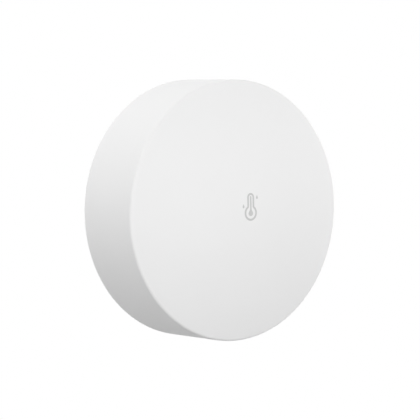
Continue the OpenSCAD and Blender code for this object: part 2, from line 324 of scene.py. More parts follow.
@dataclass
class Turned:
    """A closed surface turned about the sensor's axis.

    A profile of (radius, height) points runs from pole to pole: point (i, j) of the grid is
    (r_i cos t_j, r_i sin t_j, a_i), and the first and last profile points, on the axis, are poles.
    """

    profile: Array
    columns: int
    quads: Array = field(init=False)
    extra: list[Array] = field(default_factory=list)
    rings: list[Array] = field(default_factory=list)
    fans: list[Array] = field(default_factory=list)

    def __post_init__(self) -> None:
        """Work out the grid's faces."""
        self.quads = grid_quads(self.rows, self.columns)

    @property
    def rows(self) -> int:
        """Number of rows between the poles."""
        return len(self.profile) - 2

    def grid(self) -> Array:
        """Points of the grid, of shape (rows * columns, 3)."""
        r, a = self.profile[1:-1, :1], self.profile[1:-1, 1:]
        return spun(r, 0.0, a, round_angles(self.columns)).reshape(-1, 3)

    def window(self, row: int, height: int, column: int, width: int) -> Array:
        """Open a window in the grid and give its rim.

        Args:
            row: First row.
            height: Number of faces from there; negative runs the rim the other way.
            column: Middle column.
            width: Number of faces to each side of it.

        Returns:
            Indices of the rim's points, in order, from the corner at row and the lowest column.
        """
        across = np.arange(column - width, column + width)
        down = np.arange(abs(height)) * int(math.copysign(1, height))
        last = row + height
        loop_rows = np.concatenate([0 * across + row, row + down, 0 * across + last, last - down])
        left, right = 0 * down + column - width, 0 * down + column + width
        loop_columns = np.concatenate([across, right, across[::-1] + 1, left])
        top = min(row, last)
        i, j = self.quads[:, 0] // self.columns, self.quads[:, 0] % self.columns
        inside = (i >= top) & (i < top + abs(height)) & ((j - column + width) % self.columns < 2 * width)
        self.quads = self.quads[~inside]
        return loop_rows * self.columns + loop_columns % self.columns

    def tunnel(self, first: Array, rings: Array, last: Array | None = None) -> None:
        """Join a window through rings of points to a second window, or to a closed end.

        Args:
            first: Rim of the window that the tunnel starts from.
            rings: Points of shape (rings, points, 3).
            last: Rim of the window that it ends at; without one, a fan closes the last ring.
        """
        start = self.rows * self.columns + sum(len(e) for e in self.extra)
        count = rings.shape[1]
        own = start + np.arange(len(rings) * count).reshape(-1, count)
        chain = np.concatenate([first[None], own] if last is None else [first[None], own, last[None]])
        nxt = np.roll(chain, -1, axis=1)
        self.rings.append(np.stack([chain[:-1], chain[1:], nxt[1:], nxt[:-1]], axis=-1).reshape(-1, 4))
        self.extra.append(rings.reshape(-1, 3))
        if last is None:
            self.extra.append(rings[-1].mean(axis=0)[None])
            self.fans.append(np.stack([nxt[-1], chain[-1], 0 * nxt[-1] + own[-1, -1] + 1], axis=1))

    def into(self, form: Form) -> None:
        """Close the poles with fans and add the surface to a form.

        Args:
            form: Form that takes the surface.
        """
        poles = np.array([[0.0, 0.0, self.profile[0, 1]], [0.0, 0.0, self.profile[-1, 1]]])
        points = np.concatenate([self.grid(), *self.extra, poles])
        fans = np.concatenate([end_fans(self.rows, self.columns, len(points) - 2), *self.fans])
        form.add(points, np.concatenate([self.quads, *self.rings]), fans)


def rounded_box(low: Sequence[float], high: Sequence[float], radius: float, steps: int = 4) -> Array:
    """Outline of a rectangle with quarter-circle corners.

    Args:
        low: Lowest corner.
        high: Highest corner.
        radius: Radius of the corners.
        steps: Points on each corner.

    Returns:
        Points of shape (4 * steps, 2), in order round the outline.
    """
    (x0, y0), (x1, y1) = np.add(low, radius), np.subtract(high, radius)
    middles = ((x1, y1), (x1, y0), (x0, y0), (x0, y1))
    turns = (0, 90, 180, 270)
    return np.concatenate([arc(m, radius, t, t + 90, steps) for m, t in zip(middles, turns)])


class NodeKit:
    """Short calls for building shader nodes."""

    def __init__(self, tree: bpy.types.NodeTree) -> None:
        """Keep the tree that new nodes go into."""
        self.tree = tree

    def feed(self, node: Node, inputs: Inputs) -> Node:
        """Give a node its inputs: sockets are linked, and numbers and colours are set.

        Args:
            node: The node.
            inputs: A socket or value for each input, by its name or place.

        Returns:
            The node.
        """
        for key, value in inputs.items():
            if isinstance(value, Socket):
                self.tree.links.new(value, node.inputs[key])
            else:
                node.inputs[key].default_value = value
        return node

    def node(self, kind: str, inputs: Inputs | None = None, **values: object) -> Node:
        """Add a node, set its attributes and give it its inputs.

        Args:
            kind: Blender's name of the node type.
            inputs: A socket or value for each input.
            values: Attributes to set on it.

        Returns:
            The node.
        """
        made = self.tree.nodes.new(kind)
        for key, value in values.items():
            setattr(made, key, value)
        return self.feed(made, inputs or {})

    def maths(self, operation: str, first: object, second: object = 0.0) -> Socket:
        """Add a Math node.

        Args:
            operation: Its operation, such as MULTIPLY.
            first: A socket or a number.
            second: A socket or a number.

        Returns:
            The output socket.
        """
        return self.node("ShaderNodeMath", {0: first, 1: second}, operation=operation).outputs[0]

    def mixed(self, share: Socket, first: Node, second: Node) -> Node:
        """Mix two shaders: the first where share is nought and the second where it is one."""
        return self.node("ShaderNodeMixShader", {"Fac": share, 1: first.outputs[0], 2: second.outputs[0]})


@dataclass(frozen=True)
class Effect:
    """A shared surface effect, built once as a node group and placed in each material."""

    pattern: Pattern
    detail: float = 3.0
    crispness: float = 0.62
    drawn_out: float = 0.03
    cell_height: float = 1.2
    strip: float = 0.42
    patch: float = 0.16
    turned_share: float = 0.5
    broad_scale: float = 90.0
    broad_detail: float = 2.0
    broad_share: float = 0.7
    middle: float = 0.5

    def height(self, kit: NodeKit, place: Socket, scale: Socket) -> Socket:
        """Height of the pattern.

        Grain is fine noise, and lines are that noise drawn out along x, as rolling or brushing leaves it.
        Foam adds the distance from the nearest of scattered points, for its open cells. Tracks are even
        strips of copper under lacquer, across in one square patch and upright in the next.

        Args:
            kit: Builder of the group's nodes.
            place: Position on the piece.
            scale: Features per metre.

        Returns:
            The height; for tracks, one on a strip and nought beside it.
        """
        if self.pattern is Pattern.TRACKS:
            size = kit.maths("MULTIPLY", scale, self.patch)
            squares = kit.node("ShaderNodeTexVoronoi", {"Vector": place, "Scale": size, "Randomness": 0.0})
            chance = kit.node("ShaderNodeSeparateColor", {0: squares.outputs["Color"]}).outputs[0]
            turned = kit.maths("GREATER_THAN", chance, self.turned_share)
            axes = kit.node("ShaderNodeSeparateXYZ", {0: place}).outputs
            way = kit.node("ShaderNodeMix", data_type="FLOAT")
            kit.feed(way, {"Factor": turned, "A": axes["X"], "B": axes["Z"]})
            saw = kit.maths("FRACT", kit.maths("MULTIPLY", way.outputs[0], scale))
            return kit.maths("LESS_THAN", saw, self.strip)
        along = self.drawn_out if self.pattern is Pattern.LINES else 1.0
        mapping = kit.node("ShaderNodeMapping", {"Vector": place, "Scale": (along, 1.0, 1.0)})
        fine = kit.node("ShaderNodeTexNoise", {
            "Vector": mapping.outputs["Vector"],
            "Scale": scale,
            "Detail": self.detail,
            "Roughness": self.crispness,
        })
        if self.pattern is Pattern.CELLS:
            cells = kit.node("ShaderNodeTexVoronoi", {"Vector": place, "Scale": scale}).outputs["Distance"]
            return kit.maths("ADD", fine.outputs[0], kit.maths("MULTIPLY", cells, self.cell_height))
        return fine.outputs[0]

    def group(self) -> bpy.types.NodeTree:
        """Find the node group, or build it.

        Its inputs are Scale (features per metre), Tint (the colour to vary), Tone (share by which the
        colour varies), Gloss (the middle roughness) and Spread (how far roughness varies). Its outputs
        are Color, Roughness and Height.

        Returns:
            The node group.
        """
        found = bpy.data.node_groups.get(self.pattern.value)
        if found:
            return found
        tree = bpy.data.node_groups.new(self.pattern.value, "ShaderNodeTree")
        for name in ("Scale", "Tone", "Gloss", "Spread"):
            tree.interface.new_socket(name=name, in_out="INPUT", socket_type="NodeSocketFloat")
        tree.interface.new_socket(name="Tint", in_out="INPUT", socket_type="NodeSocketColor")
        tree.interface.new_socket(name="Color", in_out="OUTPUT", socket_type="NodeSocketColor")
        for name in ("Roughness", "Height"):
            tree.interface.new_socket(name=name, in_out="OUTPUT", socket_type="NodeSocketFloat")
        kit = NodeKit(tree)
        given = kit.node("NodeGroupInput").outputs
        place = kit.node("ShaderNodeTexCoord").outputs["Object"]
        height = self.height(kit, place, given["Scale"])
        coarse = {"Vector": place, "Scale": self.broad_scale, "Detail": self.broad_detail}
        broad = kit.node("ShaderNodeTexNoise", coarse)
        far = kit.maths("MULTIPLY", broad.outputs[0], self.broad_share)
        near = kit.maths("MULTIPLY", height, 1.0 - self.broad_share)
        swing = kit.maths("SUBTRACT", kit.maths("ADD", far, near), self.middle)
        factor = kit.maths("ADD", kit.maths("MULTIPLY", swing, given["Tone"]), 1.0)
        colour = kit.node("ShaderNodeVectorMath", operation="SCALE")
        kit.feed(colour, {0: given["Tint"], "Scale": factor})
        kit.node("NodeGroupOutput", {
            "Color": colour.outputs[0],
            "Roughness": kit.maths("ADD", kit.maths("MULTIPLY", swing, given["Spread"]), given["Gloss"]),
            "Height": height,
        })
        return tree


@dataclass(frozen=True)
class Finish:
    """A finish: its colour, gloss and the pattern on its surface."""

    name: str
    colour: Colour
    gloss: float
    pattern: Pattern = Pattern.GRAIN
    scale: float = 4500.0
    depth: float = 0.004
    tone: float = 0.03
    spread: float = 0.08
    metal: float = 0.0
    specular: float = 0.5
    relief: float = 0.6

    def material(self) -> bpy.types.Material:
        """Find the material, or build it.

        Returns:
            A material whose Principled shader takes colour, roughness and height from the pattern.
        """
        found = bpy.data.materials.get(self.name)
        if found:
            return found
        made = bpy.data.materials.new(self.name)
        made.use_nodes = True
        made.diffuse_color = (*self.colour, 1.0)
        kit = NodeKit(made.node_tree)
        effect = kit.node("ShaderNodeGroup", node_tree=Effect(self.pattern).group())
        kit.feed(effect, {
            "Scale": self.scale,
            "Tint": (*self.colour, 1.0),
            "Tone": self.tone,
            "Gloss": self.gloss,
            "Spread": self.spread,
        })
        bump = kit.node("ShaderNodeBump", {
            "Height": effect.outputs["Height"],
            "Strength": self.relief,
            "Distance": self.depth * METRES,
        })
        kit.feed(made.node_tree.nodes["Principled BSDF"], {
            "Base Color": effect.outputs["Color"],
            "Roughness": effect.outputs["Roughness"],
            "Normal": bump.outputs["Normal"],
            "Metallic": self.metal,
            "Specular IOR Level": self.specular,
        })
        return made


HOUSING_WHITE = Finish("satin_white", (0.83, 0.83, 0.83), 0.46, specular=0.3)
COVER_WHITE = Finish("matt_white", (0.77, 0.77, 0.77), 0.52, scale=3600.0, depth=0.006, specular=0.3)
BUTTON_WHITE = Finish("button_satin", (0.81, 0.81, 0.81), 0.38)
SYMBOL_GREY = Finish("printed_grey", (0.56, 0.56, 0.56), 0.55, scale=9000.0, depth=0.001)
PAD_FOAM = Finish(
    "foam_grey", (0.60, 0.60, 0.58), 0.85, Pattern.CELLS, scale=5200.0, depth=0.03, tone=0.12
)
TRAY_BLACK = Finish("moulded_black", (0.045, 0.045, 0.05), 0.55, scale=3800.0, depth=0.006)
BOARD_GREEN = Finish(
    "solder_mask_green", (0.02, 0.15, 0.065), 0.30, Pattern.TRACKS, scale=1500.0, depth=0.02, tone=1.6
)
CHIP_BLACK = Finish("chip_resin", (0.02, 0.02, 0.022), 0.62, scale=9000.0, depth=0.002, tone=0.2)
TIN_METAL = Finish(
    "tinned_steel", (0.66, 0.66, 0.65), 0.28, Pattern.LINES, scale=5000.0, depth=0.002, tone=0.1, metal=1.0
)
CONTACT_METAL = Finish(
    "plated_spring", (0.72, 0.68, 0.58), 0.24, Pattern.LINES, scale=5000.0, depth=0.002, tone=0.1, metal=1.0
)
CERAMIC_TAN = Finish("fired_tan", (0.42, 0.30, 0.19), 0.40, scale=7000.0, depth=0.001, tone=0.15)
CERAMIC_WHITE = Finish("fired_white", (0.62, 0.66, 0.68), 0.35, scale=7000.0, depth=0.001, tone=0.1)
LAMP_RESIN = Finish("lamp_clear", (0.88, 0.84, 0.58), 0.15, scale=5000.0, depth=0.0005)
SEAL_BLACK = Finish("seal_rubber", (0.03, 0.03, 0.03), 0.65, scale=6000.0, depth=0.002)

INNER_FINISHES: dict[str, Finish] = {
    "battery_tray": TRAY_BLACK,
    "main_board": BOARD_GREEN,
    "radio_chip": CHIP_BLACK,
    "crystal": TIN_METAL,
    "humidity_sensor": CHIP_BLACK,
    "chip_antenna": CERAMIC_WHITE,
    "status_led": LAMP_RESIN,
    "chip_capacitors": CERAMIC_TAN,
    "chip_resistors": CHIP_BLACK,
    "negative_contact": CONTACT_METAL,
    "positive_contact": CONTACT_METAL,
    "cell_can": TIN_METAL,
    "cell_cap": TIN_METAL,
    "cell_seal": SEAL_BLACK,
    "tray_screws": TIN_METAL,
    "switch_base": CHIP_BLACK,
    "switch_cover": TIN_METAL,
    "switch_plunger": BUTTON_WHITE,
}


def settle(obj: Piece, finish: Finish, body: Body, slot: str, *nodes: str) -> Piece:
    """Give a new piece its finish and its body, and hide the solids that it stands for.

    Args:
        obj: The piece.
        finish: Its finish.
        body: Body that it rides on.
        slot: Slot of the record that its finish belongs to; not used.
        nodes: Solids that it stands for.

    Returns:
        The piece.
    """
    obj.data.materials.append(finish.material())
    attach(obj, body.value)
    if nodes:
        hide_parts(*nodes)
    LOG.info("%s: %d faces, rides on %s", obj.name, len(obj.data.polygons), body.value)
    return obj


def domed_stretch(wall_r: float, ball_r: float, round_r: float, dome_rows: int, round_rows: int) -> Array:
    """Half profile from the top of the dome to the start of the side wall.

    The dome is an arc of the ball; the rounding is a circle that touches the ball from inside and the wall.

    Args:
        wall_r: Radius of the side wall.
        ball_r: Radius of the ball.
        round_r: Radius of the rounding.
        dome_rows: Points on the dome.
        round_rows: Points on the rounding.

    Returns:
        Points (radius, height).
    """
    reach = ball_r - round_r
    turn = math.degrees(math.asin((wall_r - round_r) / reach))
    middle = (wall_r - round_r, SIZE.ball_a + math.sqrt(reach**2 - (wall_r - round_r) ** 2))
    return joined(
        arc((0.0, SIZE.ball_a), ball_r, 0, turn, dome_rows),
        arc(middle, round_r, turn, 90, round_rows),
    )


@dataclass
class Housing:
    """Front housing: domed face, side wall with the button's dish and hole, bosses, ribs and lock lips."""

    columns: int = 192
    outer_rows: tuple[int, int] = (46, 10)
    inner_rows: tuple[int, int] = (40, 8)
    inner_round: float = 1.2
    window_width: int = 5
    window_rows: int = 16
    outer_window: Pair = (11.9, 5.2)
    inner_window: Pair = (10.9, 6.2)
    dish_r: float = 12.0
    dish_depth: float = 0.35
    dish_edge: float = 0.12
    dish_ring: float = 3.05
    dish_steps: int = 12
    hole_r: float = 1.65
    hole_round: float = 0.15
    hole_steps: int = 5
    boss_at: float = 15.1
    boss_r: float = 2.0
    boss_hole: float = 1.0
    boss_angles: tuple[float, ...] = (60.0, 180.0, 300.0)
    rib_angles: tuple[float, ...] = (0.0, 30.0, 90.0, 120.0, 150.0, 210.0, 240.0, 330.0)
    rib_t: float = 1.0
    rib_in: float = 16.6
    rib_round: float = 0.12
    rib_steps: int = 5
    face_bite: float = 0.15
    wall_bite: float = 0.3
    lamp_at: float = 4.6
    lamp_column: int = 144
    lamp_r: float = 1.6
    lamp_skin: float = 0.8
    lamp_window: tuple[int, int] = (9, 24)
    lamp_shares: tuple[float, ...] = (0.35, 0.7, 1.0)
    lamp_rises: Pair = (0.5, 1.0)
    lip_low: Pair = (18.5, 2.2)
    lip_top: float = 3.65
    lip_span: Pair = (-14.0, 12.8)
    stop_low: Pair = (18.65, 2.5)
    stop_top: float = 5.0
    stop_spans: tuple[Pair, Pair] = ((11.6, 14.0), (-44.0, -41.6))
    stop_steps: int = 6
    mark_margins: Pair = (0.3, 0.6)
    mark_rise: float = 0.2
    mark_root: float = 0.3
    mark_round: float = 0.06
    mark_spans: tuple[Pair, ...] = ((-0.8, 0.8), (-31.7, -30.7), (-29.3, -28.3))
    mark_steps: int = 4

    def profile(self) -> tuple[Array, int, int]:
        """Closed profile from the outer pole round the rim to the inner pole.

        Returns:
            The points, and the rows (without poles) where the outer and the inner window start.
        """
        ball = SIZE.ball_r
        outer = domed_stretch(SIZE.body_r, ball, SIZE.edge_r, *self.outer_rows)
        inner = domed_stretch(SIZE.inner_r, ball - SIZE.shell, self.inner_round, *self.inner_rows)[::-1]
        r, q, e = SIZE.body_r, SIZE.inner_r, SIZE.soft
        foot, rim = SIZE.rim, SIZE.rim + SIZE.rim_r
        far, near = self.outer_window
        high, low = self.inner_window
        faces = self.window_rows + 1
        head = joined(outer, even(outer[-1], (r, far), 6))
        back = joined(
            head,
            even((r, far), (r, near), faces),
            even((r, near), (r, rim), 14),
            arc((r - SIZE.rim_r, rim), SIZE.rim_r, 90, 180, 7),
            even((r - SIZE.rim_r, foot), (q + e, foot), 5),
            arc((q + e, foot + e), e, 180, 270, 4),
            even((q, foot + e), (q, low), 12),
        )
        full = joined(back, even((q, low), (q, high), faces), even((q, high), inner[0], 4), inner)
        return full, len(head) - 2, len(back) - 2

    def wall_u(self, v: Array, height: Array) -> Array:
        """Outer face of the wall beside the button: the lower of wall and dish, joined smoothly.

        The wall is sqrt(R^2 - v^2) and the dish is a ball's face; near their crossing a parabola rounds it.

        Args:
            v: Sideways distance from the button's axis.
            height: Distance along the wall from that axis.

        Returns:
            Distance u from the sensor's axis.
        """
        wall = np.sqrt(SIZE.body_r**2 - v**2)
        ball = SIZE.body_r - self.dish_depth + self.dish_r
        dish = ball - np.sqrt(self.dish_r**2 - v**2 - height**2)
        share = np.clip(self.dish_edge - np.abs(wall - dish), 0, None)
        return np.minimum(wall, dish) - share**2 / (4 * self.dish_edge)

    @staticmethod
    def inner_u(v: Array) -> Array:
        """Inner face of the wall: sqrt(r^2 - v^2)."""
        return np.sqrt(SIZE.inner_r**2 - v**2)

    def ring(self, ray: Array, distance: Array, u: Array | None = None) -> Array:
        """One ring of points about the button's axis.

        Args:
            ray: Directions (v, height) of shape (n, 2).
            distance: Distance along each.
            u: Distance from the sensor's axis; without it, the wall's outer face.

        Returns:
            Points of shape (n, 3).
        """
        flat = ray * distance[:, None]
        if u is None:
            u = self.wall_u(flat[:, 0], flat[:, 1])
        return np.stack([u, flat[:, 0], flat[:, 1] + SIZE.button], axis=1)

    def hole_rings(self, outer_rim: Array, inner_rim: Array) -> Array:
        """Rings from the outer window over the dish and through the hole to the inner window.

        Each ring point lies on the ray from the button's axis to its rim point: the distance goes from
        the rim to circles, down to the hole, through the wall, and out to the inner rim again.

        Args:
            outer_rim: Points of the outer window's rim.
            inner_rim: Points of the inner window's rim.

        Returns:
            Ring points of shape (rings, points, 3).
        """
        out, back = (rim[:, 1:] - (0.0, SIZE.button) for rim in (outer_rim, inner_rim))
        far, near = np.linalg.norm(out, axis=1), np.linalg.norm(back, axis=1)
        ray, ray_in = out / far[:, None], back / near[:, None]
        bore, e = 0 * far + self.hole_r, self.hole_round
        spans = [far * (1 - t) + self.dish_ring * t for t in (*THIRDS, 1.0)]
        spans += [0 * far + d for d in np.linspace(self.dish_ring, self.hole_r + e, self.dish_steps)[1:]]
        rings = [self.ring(ray, d) for d in spans]
        edge_u = rings[-1][:, 0]
        for bend in np.linspace(0, math.pi / 2, self.hole_steps)[1:]:
            rings.append(self.ring(ray, bore + e * (1 - math.sin(bend)), edge_u - e * (1 - math.cos(bend))))
        start_u, end_u = rings[-1][:, 0], self.inner_u(ray_in[:, 0] * bore)
        for t in np.linspace(0, 1, self.hole_steps)[1:]:
            rings.append(self.ring(ray * (1 - t) + ray_in * t, bore, start_u * (1 - t) + end_u * t))
        for t in THIRDS:
            distance = bore * (1 - t) + near * t
            rings.append(self.ring(ray_in, distance, self.inner_u(ray_in[:, 0] * distance)))
        return np.stack(rings)

    def lamp_rings(self, rim: Array) -> Array:
        """Rings of the lamp's pocket, from its window in the inner face to the pocket's flat end.

        Each ring point lies on the ray from the pocket's axis to its rim point; the distance shrinks to the
        pocket's radius along the inner face, and the height then rises to the skin that is left.

        Args:
            rim: Points of the window's rim.

        Returns:
            Ring points of shape (rings, points, 3).
        """
        flat = rim[:, :2] + (0.0, self.lamp_at)
        far = np.linalg.norm(flat, axis=1)
        ray = flat / far[:, None]
        top = SIZE.edge + SIZE.dome - self.lamp_skin
        rings = []
        for share in self.lamp_shares:
            plane = ray * (far * (1 - share) + self.lamp_r * share)[:, None] - (0.0, self.lamp_at)
            rings.append(np.column_stack([plane, SIZE.under_face(np.hypot(*plane.T))]))
        wall = rings[-1]
        for share in self.lamp_rises:
            rings.append(np.column_stack([wall[:, :2], wall[:, 2] * (1 - share) + top * share]))
        return np.stack(rings)

    def add_shell(self, form: Form) -> None:
        """Add the cup: its turned surface with the button's hole and the lamp's pocket.

        Args:
            form: Form that takes the cup.
        """
        profile, outer_row, inner_row = self.profile()
        shell = Turned(profile, self.columns)
        grid = shell.grid()
        first = shell.window(outer_row, self.window_rows, 0, self.window_width)
        last = shell.window(inner_row + self.window_rows, -self.window_rows, 0, self.window_width)
        shell.tunnel(first, self.hole_rings(grid[first], grid[last]), last)
        rows, width = self.lamp_window
        dome = self.inner_rows[0]
        middle = len(profile) - dome + int(np.argmin(np.abs(profile[-dome:, 0] - self.lamp_at)))
        pocket = shell.window(middle - 1 - rows // 2, rows, self.lamp_column, width)
        shell.tunnel(pocket, self.lamp_rings(grid[pocket]))
        shell.into(form)

    def build(self) -> Piece:
        """Make the cup, and the bosses, ribs, lips and stops inside it and the marks on its rim.

        Returns:
            The piece.
        """
        form = Form()
        self.add_shell(form)
        boss_top = SIZE.under_face(self.boss_at - self.boss_r) + self.face_bite
        boss = rounded_box((self.boss_hole, SIZE.board_top), (self.boss_r, boss_top), SIZE.soft)
        for angle in np.radians(self.boss_angles):
            form.loop(boss, self.boss_at * np.array([np.cos(angle), np.sin(angle)]))
        wall = SIZE.inner_r + self.wall_bite
        rib_top = SIZE.under_face(self.rib_in) + self.face_bite
        rib = rounded_box((-self.rib_t / 2, SIZE.board_top), (self.rib_t / 2, rib_top), self.rib_round)
        for angle in self.rib_angles:
            form.radial_bar(rib, (self.rib_in, wall), angle, self.rib_steps)
        lip = rounded_box(self.lip_low, (wall, self.lip_top), SIZE.soft)
        stop = rounded_box(self.stop_low, (wall, self.stop_top), SIZE.soft)
        for angle in SIZE.lock_angles:
            form.arc_bar(lip, angle + self.lip_span[0], angle + self.lip_span[1])
            for start, end in self.stop_spans:
                form.arc_bar(stop, angle + start, angle + end, self.stop_steps)
        near, far = self.mark_margins
        low = (SIZE.inner_r + near, SIZE.rim - self.mark_rise)
        high = (SIZE.body_r - far, SIZE.rim + self.mark_root)
        for start, end in self.mark_spans:
            form.arc_bar(rounded_box(low, high, self.mark_round), start, end, self.mark_steps)
        return form.piece("housing_shell")

    def dress(self) -> Piece:
        """Build the housing in satin white plastic, in place of its solid."""
        return settle(self.build(), HOUSING_WHITE, Body.SENSOR, "housing_white", "front_housing")


@dataclass
class Symbol:
    """Thermometer symbol with two drops, printed on the dome."""

    bulb_r: float = 1.11
    bulb_v: float = -0.235
    stem: float = 0.55
    stem_top: float = 2.86
    stroke: float = 0.33
    outline_points: int = 220
    outline_passes: int = 3
    column: float = 0.155
    column_top: float = 2.53
    fill_r: float = 0.47
    fill_v: float = -0.28
    fill_neck: float = 0.82
    fill_rows: tuple[int, int, int] = (24, 60, 10)
    fill_ends: Pair = (0.03, 1.54)
    film: float = 0.012
    drops: tuple[Pair, Pair] = ((1.325, 2.0), (-1.50, 0.56))
    drop_size: Pair = (0.19, 0.70)
    drop_belly: float = 0.62
    drop_taper: float = 0.25
    drop_rows: int = 28
    drop_ends: Pair = (0.01, 0.99)

    def on_dome(self, flat: Array) -> Array:
        """Carry a strip of print onto the dome, with its lower side under the dome's face.

        The strip has six points across, round its section: low, high, high, high, low and low. The height
        is the ball's height there, plus or minus the film.

        Args:
            flat: Points (u, v) of shape (stations, 6, 2).

        Returns:
            Points of shape (stations, 6, 3).
        """
        lift = self.film * np.array([-1, 1, 1, 1, -1, -1])
        a = SIZE.ball_a + np.sqrt(SIZE.ball_r**2 - (flat**2).sum(axis=-1)) + lift
        return np.concatenate([flat, a[..., None]], axis=-1)

    def outline(self) -> Array:
        """Middle line of the outline: up the stem, round its top, down, and round the bulb.

        The pieces are chained, spaced evenly by length and smoothed a little where stem and bulb meet.

        Returns:
            Closed path of shape (points, 2).
        """
        neck = math.degrees(math.asin(self.stem / self.bulb_r))
        rise = self.bulb_v + math.sqrt(self.bulb_r**2 - self.stem**2)
        turn = self.stem_top - self.stem
        path = joined(
            even((self.stem, rise), (self.stem, turn), 30),
            arc((0, turn), self.stem, 90, -90, 40),
            even((-self.stem, turn), (-self.stem, rise), 30),
            arc((0, self.bulb_v), self.bulb_r, -neck, -360 + neck, 90),
        )
        closed = np.concatenate([path, path[:1]])
        along = np.concatenate([[0], np.cumsum(np.linalg.norm(np.diff(closed, axis=0), axis=1))])
        wanted = np.linspace(0, along[-1], self.outline_points, endpoint=False)
        spaced = np.stack([np.interp(wanted, along, closed[:, k]) for k in (0, 1)], axis=1)
        for _ in range(self.outline_passes):
            spaced = (np.roll(spaced, 1, axis=0) + 2 * spaced + np.roll(spaced, -1, axis=0)) / 4
        return spaced

    def add_outline(self, form: Form) -> None:
        """Add the outline: a flat section of the stroke's width carried round the path.

        Args:
            form: Form that takes the outline.
        """
        path = self.outline()
        along = np.roll(path, -1, axis=0) - np.roll(path, 1, axis=0)
        normal = np.stack([along[:, 1], -along[:, 0]], axis=1)
        normal /= np.linalg.norm(normal, axis=1, keepdims=True)
        across = np.array([-0.5, -0.5, 0.0, 0.5, 0.5, 0.0]) * self.stroke
        points = self.on_dome(path[:, None] + normal[:, None] * across[:, None])
        form.add(points.reshape(-1, 3), grid_quads(len(path), len(across), wrap_rows=True))

    def add_filled(self, form: Form, centre: float, heights: Array, half: Array) -> None:
        """Add a filled shape, given by its half width at each height.

        Args:
            form: Form that takes the shape.
            centre: Its middle line's place across the face.
            heights: Heights v, rising.
            half: Half width at each height.
        """
        u = centre + half[:, None] * np.array([-1.0, -1.0, 0.0, 1.0, 1.0, 0.0])
        form.sweep(self.on_dome(np.stack(np.broadcast_arrays(u, heights[:, None]), axis=-1)))

    def add_column(self, form: Form) -> None:
        """Add the filled column: half a circle, a neck that narrows in an S-curve, and a round top.

        The neck is wider than the column by a share n^2.5 (3 - 2 n) of what the circle is, where n falls
        evenly from one to nought.

        Args:
            form: Form that takes the column.
        """
        rise = self.column_top - self.fill_v - self.column
        rows, first, last = self.fill_rows, *self.fill_ends
        x = np.concatenate([
            -self.fill_r * np.cos(np.linspace(first, math.pi / 2, rows[0])),
            np.linspace(0, rise, rows[1])[1:],
            rise + self.column * np.sin(np.linspace(0, last, rows[2]))[1:],
        ])
        ball = np.sqrt(np.clip(self.fill_r**2 - x**2, 0, None))
        neck = np.clip(1 - x / self.fill_neck, 0, 1)
        flare = self.column + (self.fill_r - self.column) * neck**2.5 * (3 - 2 * neck)
        cap = np.sqrt(np.clip(self.column**2 - np.clip(x - rise, 0, None) ** 2, 0, None))
        half = np.where(x > rise, cap, np.where(x > 0, flare, ball))
        self.add_filled(form, 0.0, self.fill_v + x, half)

    def build(self) -> Piece:
        """Make the print: outline, filled column with its bulb, and the two drops.

        A drop's half width is width * sin(pi s^belly) (1 - taper s), for s from its foot to its tip.

        Returns:
            The piece.
        """
        form = Form()
        self.add_outline(form)
        self.add_column(form)
        width, height = self.drop_size
        s = np.linspace(*self.drop_ends, self.drop_rows)
        half = width * np.sin(math.pi * s**self.drop_belly) * (1 - self.drop_taper * s)
        for u, low in self.drops:
            self.add_filled(form, u, low + height * s, half)
        return form.piece("symbol_print")

    def dress(self) -> Piece:
        """Build the print in pale grey ink; it rides with the housing."""
        return settle(self.build(), SYMBOL_GREY, Body.SENSOR, "housing_white")


